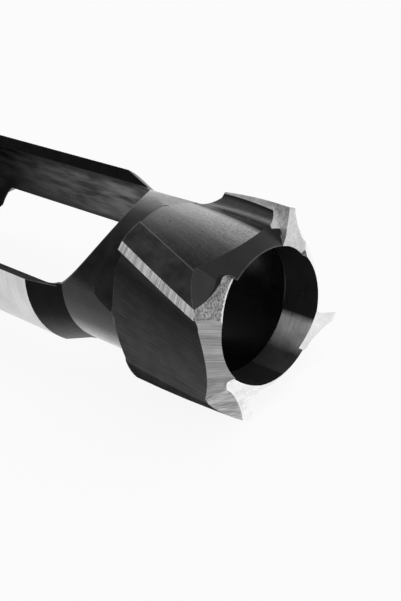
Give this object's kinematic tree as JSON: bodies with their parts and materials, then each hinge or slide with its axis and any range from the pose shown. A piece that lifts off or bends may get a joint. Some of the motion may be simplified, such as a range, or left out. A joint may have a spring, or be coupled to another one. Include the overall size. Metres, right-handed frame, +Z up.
{
  "type": "tenon cutter",
  "caption": "Hollow milling cutter with helical teeth round a bore, a windowed tube behind them and a plain round shank, in black steel with bright ground edges.",
  "frame": {"origin": "under the middle of the cutter's length, on the surface that it lies on", "axes": "+X along the tool's axis, out of the mouth; +Z up, with the cutter lying on its side"},
  "size_m": [0.14, 0.0288, 0.0288],
  "materials": {
    "tool_steel": "black oxide, with bright ground edges at the teeth"
  },
  "bodies": {
    "root": {"cutter_body": "tool_steel"}
  },
  "joints": []
}
